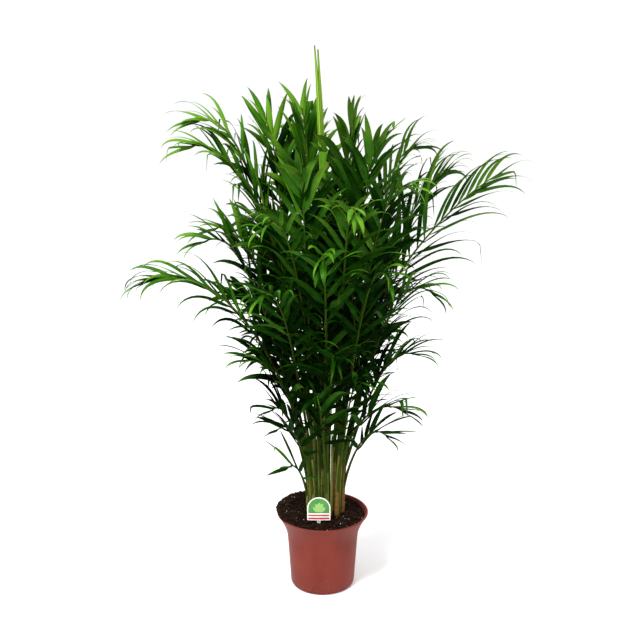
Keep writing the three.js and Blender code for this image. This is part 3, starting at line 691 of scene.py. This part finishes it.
# What a leaflet may do to grow past what is in its way: turn its spread, lift and droop by
# these, and reach this share of its length.
DETOURS = [
    (0, 0, 0, 1),
    (0.14, 0, 0, 1),
    (-0.14, 0, 0, 1),
    (0, 0.25, -0.1, 1),
    (0, -0.25, 0.1, 1),
    (-0.25, 0.3, 0, 0.95),
    (0.2, -0.4, 0.2, 0.95),
    (-0.3, -0.5, 0.1, 0.9),
    (0.1, 0.5, 0, 0.85),
    (0, 0, 0, 0.7),
    (-0.2, 0.3, 0, 0.6),
    (0, -0.3, 0, 0.5),
    (0, 0.2, 0, 0.35),
]

# LEAF_DARK, LEAF_GREEN, LEAF_BRIGHT and LEAF_YELLOW are one leaf green at rising painted light,
# from painted shade deep in the crown to painted light on its open top. LEAF_YELLOW is also the
# pale midrib.
LEAF_DARK = (0.0012, 0.0095, 0.0002, 1)
LEAF_GREEN = (0.0050, 0.036, 0.0008, 1)
LEAF_BRIGHT = (0.034, 0.140, 0.003, 1)
LEAF_YELLOW = (0.095, 0.235, 0.010, 1)
LEAF_UNDER = (0.012, 0.040, 0.006, 1)
STALK_GREEN = (0.050, 0.086, 0.009, 1)


def lay_out_stalk(row):
    """The stalk of a frond: up from its cane, over, and out to its tip."""
    cane_name, leaves, tip, arch, splay = *row[:4], row[-1]
    cane = canes[cane_name]
    foot, tip = cane.at(leaves)[0], np.array(tip, float)
    reach = (tip - foot) * (1, 1, 0)
    crest = tip[2] + arch
    rising = foot + (cane.along(leaves)[0] + unit(reach) * splay) * (crest - foot[2]) * 0.5
    over = foot + STALK_OVER * reach
    over[2] = crest
    return Stem([foot, rising, over, tip], unit(np.cross(reach, UP)))


def blade_rings(stalk, roll, leaflet, steps):
    """Rings along a leaflet, each of eight points, and the way round given by BLADE_ACROSS."""
    share, side, spread, lift, length, width, droop, twist, fold = leaflet
    along = stalk.along(share)[0]
    sideways = stalk.sideways * math.cos(roll) - np.cross(along, stalk.sideways) * math.sin(roll)
    over = unit(np.cross(sideways, along))
    sideways = sideways * side
    aside = sideways * math.cos(lift) + over * math.sin(lift)
    heading = along * math.cos(spread) + aside * math.sin(spread)
    across = unit(heading * (along @ heading) - along) * side
    stalk_radius = STALK_RADIUS + (STALK_TIP_RADIUS - STALK_RADIUS) * share
    start = stalk.at(share)[0] - sideways * 0.4 * stalk_radius
    # It leaves straight, bends down more and more, and past a fold it hangs straight down.
    outward = unit((heading + 0.15 * along) * (1, 1, 0))
    fine = np.linspace(0, 1, LEAFLET_BENDS + 1)
    climb = math.asin(min(heading[2], 1)) - 3 * droop * fine**3 - LEAFLET_FOLD * (fine > fold)
    climb = np.maximum(climb, LEAFLET_STEEPEST)[:, None]
    runs = (outward * np.cos(climb) + UP * np.sin(climb)) * length / LEAFLET_BENDS
    path = start + np.concatenate([[(0, 0, 0)], np.cumsum((runs[1:] + runs[:-1]) / 2, axis=0)])
    middle = np.stack([np.interp(steps, fine, path[:, k]) for k in range(3)], -1)
    way = unit(np.gradient(middle, steps, axis=0))
    # A blade can't bend edgeways, so it turns its flat to the way it bends.
    t = steps[:, None]
    flat = across + np.cross(outward, UP) * 4 * droop * t**2
    top = unit(np.cross(flat, way))
    flat = np.cross(way, top)
    flat, top = (
        flat * np.cos(twist * t) + top * np.sin(twist * t),
        top * np.cos(twist * t) - flat * np.sin(twist * t),
    )
    top = unit(np.cross(flat, way))
    flat = np.cross(way, top)
    neck = np.clip(t / NECK_LENGTH, 0, 1)
    neck = NECK_WIDTH + (1 - NECK_WIDTH) * neck * neck * (3 - 2 * neck)
    fullness = np.interp(width, *LEAFLET_FULLNESS)
    half = width / 2 * neck * np.maximum(1 - t**fullness, 0.012)
    drop = half * (0.62 - 0.42 * np.minimum(t * 2.2, 1))
    thick = LEAFLET_THICKNESS * (1 - 0.7 * t)
    down = BLADE_DROP * drop + BLADE_UNDER * thick
    return (
        middle[:, None]
        + (BLADE_ACROSS * half)[..., None] * flat[:, None]
        - down[..., None] * top[:, None]
    )


class Surroundings:
    """Everything that has grown already, which later leaflets keep clear of."""

    def __init__(self):
        self.trees, self.owners, self.low, self.high, self.sheets = [], [], [], [], []

    def net_of(self, sheet, first=0):
        """A grid of points as a list of points and one of faces, numbered from first."""
        rows, columns = sheet.shape[:2]
        here = first + np.arange(rows * columns).reshape(rows, columns)
        faces = np.stack([here[:-1, :-1], here[:-1, 1:], here[1:, 1:], here[1:, :-1]], -1)
        return sheet.reshape(-1, 3).tolist(), faces.reshape(-1, 4).tolist()

    def add(self, sheet, owner):
        """Adds a grid of points that belongs to an owner."""
        self.trees.append(BVHTree.FromPolygons(*self.net_of(sheet)))
        self.sheets.append(sheet)
        self.owners.append(owner)
        self.low.append(sheet.min((0, 1)))
        self.high.append(sheet.max((0, 1)))

    def all_as_one(self):
        """All of it as one thing that rays can be cast at."""
        points, faces = [], []
        for sheet in self.sheets:
            more_points, more_faces = self.net_of(sheet, len(points))
            points += more_points
            faces += more_faces
        return BVHTree.FromPolygons(points, faces)

    def clear(self, sheet, owner):
        """Whether a grid of points is clear of everything that belongs to others."""
        tree = BVHTree.FromPolygons(*self.net_of(sheet))
        low, high = np.array(self.low), np.array(self.high)
        near = np.all((low < sheet.max((0, 1))) & (high > sheet.min((0, 1))), axis=1)
        return not any(
            self.owners[i] != owner and self.trees[i].overlap(tree)
            for i in np.flatnonzero(near)
        )


# The directions in which the open sky is looked for, by how high they point. The share left
# open is carried on the fronds, and their finish paints it as light and shade.
SKY = [
    Vector((math.cos(turn) * math.cos(lift), math.sin(turn) * math.cos(lift), math.sin(lift)))
    for lift, count in ((0.5, 6), (0.9, 6), (1.3, 4))
    for turn in np.arange(count) / count * 2 * math.pi + lift
]


def open_sky(crown, point):
    """The share of the sky, from 0 to 1, that the crown leaves open above a point."""
    point = Vector(point)
    return sum(crown.ray_cast(point + ray * 6, ray)[0] is None for ray in SKY) / len(SKY)


def open_ring(rings):
    """The rings with their first point repeated, so that a grid of them goes all the way round."""
    return np.concatenate([rings, rings[:, :1]], axis=1)


grown = Surroundings()
for cane_name, cane in canes.items():
    shares = np.linspace(0, 1, 8)
    radii = CANE_RADIUS + (CANE_TOP_RADIUS - CANE_RADIUS) * shares
    grown.add(open_ring(cane.rings(shares, radii, 8)), cane_name)
for shoot in shoots.values():
    grown.add(open_ring(shoot.rings(shares, np.full(8, SHOOT_RADIUS), 6)), "shoot")
for half in spear_halves:
    grown.add(open_ring(half.rings(shares, np.full(8, max(SPEAR_RADII)), 8)), "spear")
stalks = [lay_out_stalk(row) for row in FRONDS]
for number, stalk in enumerate(stalks):
    shares = np.linspace(0, 1, 16)
    radii = STALK_RADIUS + (STALK_TIP_RADIUS - STALK_RADIUS) * shares
    grown.add(open_ring(stalk.rings(shares, radii, 6)), number)


def grow_leaflet(number, pair, side):
    """One leaflet of a frond, turned or shortened until it is clear of the other fronds."""
    roll, pairs, longest, broadest, hang, opening = FRONDS[number][4:10]
    stalk = stalks[number]
    along = (2 * pair + (side > 0)) / (2 * pairs - 1)
    seed = number * 31 + pair * 2.3 + side * 0.7
    bare = np.interp(stalk.controls[-1][2], *BARE_STALK)
    share = bare + (0.985 - bare) * along**0.9
    spread = np.interp(along**1.4, (0, 1), LEAFLET_SPREAD) * opening + 0.2 * wobble(seed)
    lift = np.interp(along, (0, 1), LEAFLET_LIFT) - 0.3 * hang + 0.4 * wobble(seed + 0.2)
    length = longest * (0.42 + 0.58 * math.sin(math.pi * (0.22 + 0.76 * along)))
    length *= 1 + 0.12 * wobble(seed + 0.4)
    width = broadest * (0.75 + 0.25 * length / longest) * (1 + 0.15 * wobble(seed + 0.5))
    droop = 0.16 + 0.6 * hang + 0.08 * wobble(number + 0.5) + 0.16 * wobble(seed + 0.6)
    twist = wobble(seed + 0.8)
    fold = 0.72 + 0.12 * wobble(seed + 1.1) if wobble(seed + 0.9) > 0.84 else 1  # few are folded
    for more_spread, more_lift, more_droop, shorter in DETOURS:
        leaflet = (
            share,
            side,
            spread + more_spread,
            lift + more_lift,
            length * shorter,
            width * shorter**0.5,
            droop + more_droop,
            twist,
            fold,
        )
        coarse = blade_rings(stalk, roll, leaflet, LEAFLET_COARSE)[:, [6, 0, 2]]
        if grown.clear(coarse, number):
            grown.add(coarse, number)
            return leaflet, seed
    return None, seed


leaf_finish, start = new_finish("palm_leaf")
where = start.node("ShaderNodeTexCoord", output=EVERYWHERE)
place = carried(start, "place")
growth = carried(start, "growth")
up_blade = axis(place, "X")
over_blade = axis(place, "Y")
beneath = axis(place, "Z")
shade = axis(growth, "X")
sunlit = axis(growth, "Y")
on_stalk = axis(growth, "Z")
from_rib = start.math("ABSOLUTE", over_blade)
veins = start.math("SINE", over_blade * 34)
clouds = grain(where, 28, detail=3.0)
flecks = grain(where, 260, detail=4.0)
# painted light and shade: light rises with the open sky above each leaflet and stalk, and the
# random shade and clouds marks add tone to it; the ramp paints it from dark green to yellow-green
light = 1.25 * sunlit + 0.45 * shade + 0.55 * clouds - 0.57
green = start.node(
    "ShaderNodeValToRGB",
    {"stops": [(0.1, LEAF_DARK), (0.42, LEAF_GREEN), (0.8, LEAF_BRIGHT), (1.0, LEAF_YELLOW)]},
    {"Fac": light},
)
lit = rise(light, 0.1, 0.8)
# The pale midrib shows in step with the painted light, so it is partly a painted highlight.
green = blend((1 - rise(from_rib, 0.03, 0.14)) * lit * 0.4, green, LEAF_YELLOW)
# partly painted shade: the undersides of the brighter-painted leaflets are pulled to the darker
# LEAF_UNDER, which is also the underside's own duller green
green = blend(beneath * lit * 0.4, green, LEAF_UNDER)
green = blend(rise(up_blade + 0.12 * flecks + 0.1 * shade, 0.99, 1.15), green, LEAF_DRY)
green = blend(rise(flecks, 0.74, 0.82) * lit * 0.25, green, LEAF_DRY)
# The stalk's own colour is laid on more fully where the painted light is bright.
green = blend(on_stalk * (0.55 + 0.4 * lit), green, STALK_GREEN)
lay_on(
    veins * 0.35 + flecks * 0.3,
    0.00018,
    {
        "Base Color": green,
        "Roughness": 0.40 + 0.16 * clouds + 0.12 * beneath,
        "Specular IOR Level": 0.012,
        "Coat Weight": rise(light, 0.35, 0.9) * 0.12,
        "Coat Roughness": 0.24,
    },
    see_through=0.1,
)

leaflets = [
    [grow_leaflet(number, pair, side) for pair in range(row[5]) for side in (-1, 1)]
    for number, row in enumerate(FRONDS)
]
crown = grown.all_as_one()
for number, (row, stalk) in enumerate(zip(FRONDS, stalks)):
    frond_shell = Shell()
    shares = np.linspace(0, 1, STALK_STEPS)
    radii = STALK_RADIUS + (STALK_TIP_RADIUS - STALK_RADIUS) * shares
    marks = np.zeros((STALK_STEPS, STALK_SIDES, 6))
    # painted light and shade: each stalk carries the open sky above it, which its finish paints
    # darker where the crown shuts it in
    sky = [open_sky(crown, point) for point in stalk.at(STALK_SKY_SHARES)]
    marks[..., 4] = np.interp(shares, STALK_SKY_SHARES, sky)[:, None]
    marks[..., 5] = 1
    frond_shell.wrap(stalk.rings(shares, radii, STALK_SIDES), marks)
    for leaflet, seed in leaflets[number]:
        if not leaflet:
            continue
        rings = blade_rings(stalk, row[4], leaflet, LEAFLET_STEPS)
        # painted light and shade: each leaflet carries the open sky above it, with a random spread,
        # which its finish paints darker where the crown shuts it in
        sky = [open_sky(crown, rings[i, 0]) for i in SKY_STEPS]
        sky = np.interp(LEAFLET_STEPS, LEAFLET_STEPS[SKY_STEPS], sky)
        sun = sky + 0.13 * wobble(seed + 1.3) + 0.1 * wobble(number + 0.7)
        marks = np.zeros((len(LEAFLET_STEPS), 8, 6))
        marks[..., 0] = LEAFLET_STEPS[:, None]
        marks[..., 1], marks[..., 2] = BLADE_ACROSS, BLADE_UNDER
        marks[..., 3], marks[..., 4] = 0.5 + 0.5 * wobble(seed + 1.7), sun[:, None]
        frond_shell.wrap(rings, marks)
    piece = frond_shell.build(f"palm_frond_{number + 1:02d}", leaf_finish)
    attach(piece, "root")
    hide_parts(f"frond_{number + 1:02d}")

# ------------------------------------------------------------------------------- plant label
# A grower's card on a stake, die-cut from one white plastic sheet and printed on both faces with
# a plain sprig on green and two red stripes. It is pushed into the mix at the front left.

LABEL_WIDTH, LABEL_HEIGHT, LABEL_THICKNESS = 60, 62, 1
LABEL_FOOT = np.array([-10.0, -78.0, 214.0])  # the middle of the card's lower edge
LABEL_LEAN, LABEL_CURL = 0.12, 0.0016
STAKE_WIDTH, STAKE_LENGTH = 9, 62
LABEL_BORDER, STRIPES_HEIGHT = 2.6, 19
LEAF_PLUMPNESS = 0.78  # of the two circles that meet in a leaf of the sprig
# Each leaf of the printed sprig: its foot, its length and its lean.
SPRIG = ((1, 22, 26, 0), (0, 22, 20, -0.85), (2, 22, 20, 0.85), (0, 29, 18, -0.5), (2, 29, 18, 0.5))

CARD_WHITE = (0.72, 0.72, 0.68, 1)
CARD_GREEN, CARD_FRESH = (0.035, 0.17, 0.025, 1), (0.05, 0.22, 0.035, 1)
CARD_LEAF = (0.20, 0.40, 0.09, 1)
CARD_RED = (0.48, 0.022, 0.030, 1)

half_card, half_stake = LABEL_WIDTH / 2, STAKE_WIDTH / 2
shoulder = LABEL_HEIGHT - half_card
outline = [
    (half_card * math.cos(a), shoulder + half_card * math.sin(a))
    for a in np.linspace(0, math.pi, 33)
]
outline += [(-half_card, 1.5), (-half_card + 1.5, 0), (-half_stake - 1, 0), (-half_stake, -1)]
outline += [(-half_stake * 0.8, -STAKE_LENGTH * 0.8), (0, -STAKE_LENGTH)]
outline += [(half_stake * 0.8, -STAKE_LENGTH * 0.8), (half_stake, -1), (half_stake + 1, 0)]
outline += [(half_card - 1.5, 0), (half_card, 1.5)]
outline = np.array(outline)
label_rows, label_marks = [], []
for inset, level in ((0.3, -0.5), (0, -0.35), (0, 0.35), (0.3, 0.5)):
    drawn_in = outline * (1 - inset / half_card) + (0, inset * 0.6)
    curl = LABEL_CURL * drawn_in[:, 0] ** 2
    front = -(level * LABEL_THICKNESS) + curl
    tall = drawn_in[:, 1]
    y = front * math.cos(LABEL_LEAN) + tall * math.sin(LABEL_LEAN)
    z = tall * math.cos(LABEL_LEAN) - front * math.sin(LABEL_LEAN)
    label_rows.append(LABEL_FOOT + np.stack([drawn_in[:, 0], y, z], -1))
    label_marks.append(np.concatenate([drawn_in, np.zeros((len(outline), 4))], 1))
label_shell = Shell()
label_shell.wrap(np.array(label_rows), np.array(label_marks))

label_finish, start = new_finish("printed_card")
where = start.node("ShaderNodeTexCoord", output=EVERYWHERE)
place = carried(start, "place")
across_card = axis(place, "X")
up_card = axis(place, "Y")


def distance(x, y):
    """How far each point of the card is from (x, y), in mm."""
    return ((across_card - x) ** 2.0 + (up_card - y) ** 2.0) ** 0.5


def leaf_shape(x, y, size, lean):
    """1 inside a pointed leaf that is size mm long from (x, y) and leans by an angle."""
    half, out = size / 2, LEAF_PLUMPNESS * size / 2
    x, y = x + half * math.sin(lean), y + half * math.cos(lean)
    reach = math.hypot(half, out)
    right = distance(x + out * math.cos(lean), y - out * math.sin(lean))
    left = distance(x - out * math.cos(lean), y + out * math.sin(lean))
    return (1 - rise(right, reach - 0.3, reach)) * (1 - rise(left, reach - 0.3, reach))


arch = start.math("MAXIMUM", up_card - shoulder, 0.0)
to_edge = (across_card**2.0 + arch**2.0) ** 0.5
print_edge = half_card - LABEL_BORDER
print_area = 1 - rise(to_edge, print_edge - 0.3, print_edge)
print_area = print_area * rise(up_card, LABEL_BORDER, LABEL_BORDER + 0.3)
sprig = leaf_shape(*SPRIG[0])
for leaf in SPRIG[1:]:
    sprig = start.math("MAXIMUM", sprig, leaf_shape(*leaf))
stripes = rise(start.math("SINE", (up_card - 3.4) * 0.78), -0.1, 0.1)
stripes = stripes * (1 - rise(up_card, STRIPES_HEIGHT, STRIPES_HEIGHT + 0.2))
printed = blend(rise(grain(where, 50, detail=2.0), 0.35, 0.7), CARD_GREEN, CARD_FRESH)
printed = blend(sprig, printed, CARD_LEAF)
printed = blend(1 - rise(up_card, STRIPES_HEIGHT, STRIPES_HEIGHT + 0.3), printed, CARD_WHITE)
printed = blend(stripes, printed, CARD_RED)
printed = blend(print_area, CARD_WHITE, printed)
soiled = rise(grain(where, 160, detail=4.0) - 0.02 * up_card, 0.5, 0.75)
printed = blend(soiled * 0.6, printed, PEAT_BROWN)
lay_on(
    grain(where, 500, detail=1.0),
    0.00004,
    {"Base Color": printed, "Roughness": 0.28 + 0.3 * soiled},
)
label = label_shell.build("printed_label", label_finish)
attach(label, "root")
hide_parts("plant_label")

# ------------------------------------------------------------------------------- studio
# A plain white floor that runs back out of sight, soft light from above and from both sides,
# and the camera at standing height, looking a little down at the plant.

FLOOR_RADIUS, FLOOR_THICKNESS = 30000, 20
FLOOR_WHITE, FLOOR_PALE = (0.86, 0.86, 0.86, 1), (0.88, 0.88, 0.88, 1)
DAYLIGHT = 1.15  # how strong the white world shines
CAMERA_PLACE, CAMERA_DIP, CAMERA_LENS = (-0.007, -2.5, 1.42), 15.45, 57.9  # m, degrees and mm

floor_shell = Shell()
floor_shell.wrap([circle(64, FLOOR_RADIUS, z) for z in (-FLOOR_THICKNESS, 0)])
floor_finish, start = new_finish("pale_floor")
where = start.node("ShaderNodeTexCoord", output=EVERYWHERE)
mottle = grain(where, 3.0)
lay_on(mottle, 0.0001, {"Base Color": blend(mottle, FLOOR_WHITE, FLOOR_PALE), "Roughness": 0.8})
floor = floor_shell.build("studio_floor", floor_finish)


def soft_light(name, place, aim, width, power):
    """A square studio light at a place, aimed at a point, in metres and watts."""
    lamp = bpy.data.lights.new(name, "AREA")
    lamp.size, lamp.energy = width, power
    softbox = bpy.data.objects.new(name, lamp)
    softbox.location = place
    softbox.rotation_euler = (Vector(aim) - Vector(place)).to_track_quat("-Z", "Y").to_euler()
    bpy.context.scene.collection.objects.link(softbox)


soft_light("key_light", (-1.4, -2.0, 3.6), (0, 0, 0.8), 1.1, 180)
soft_light("fill_light", (2.6, -1.6, 2.0), (0, 0, 0.6), 2.0, 8)
soft_light("back_light", (0.8, 2.6, 2.8), (0, 0, 0.9), 2.0, 20)

world = bpy.data.worlds.new("white_studio")
bpy.context.scene.world = world
world.use_nodes = True
glow = world.node_tree.nodes["Background"].inputs
glow["Color"].default_value, glow["Strength"].default_value = (1, 1, 1, 1), DAYLIGHT
bpy.context.scene.view_settings.view_transform = "Standard"

lens = bpy.data.cameras.new("studio_camera")
lens.lens, lens.sensor_width, lens.clip_end = CAMERA_LENS, 36, 200
camera = bpy.data.objects.new("studio_camera", lens)
camera.location = CAMERA_PLACE
camera.rotation_euler = (math.radians(90 - CAMERA_DIP), 0, 0)
bpy.context.scene.collection.objects.link(camera)
bpy.context.scene.camera = camera
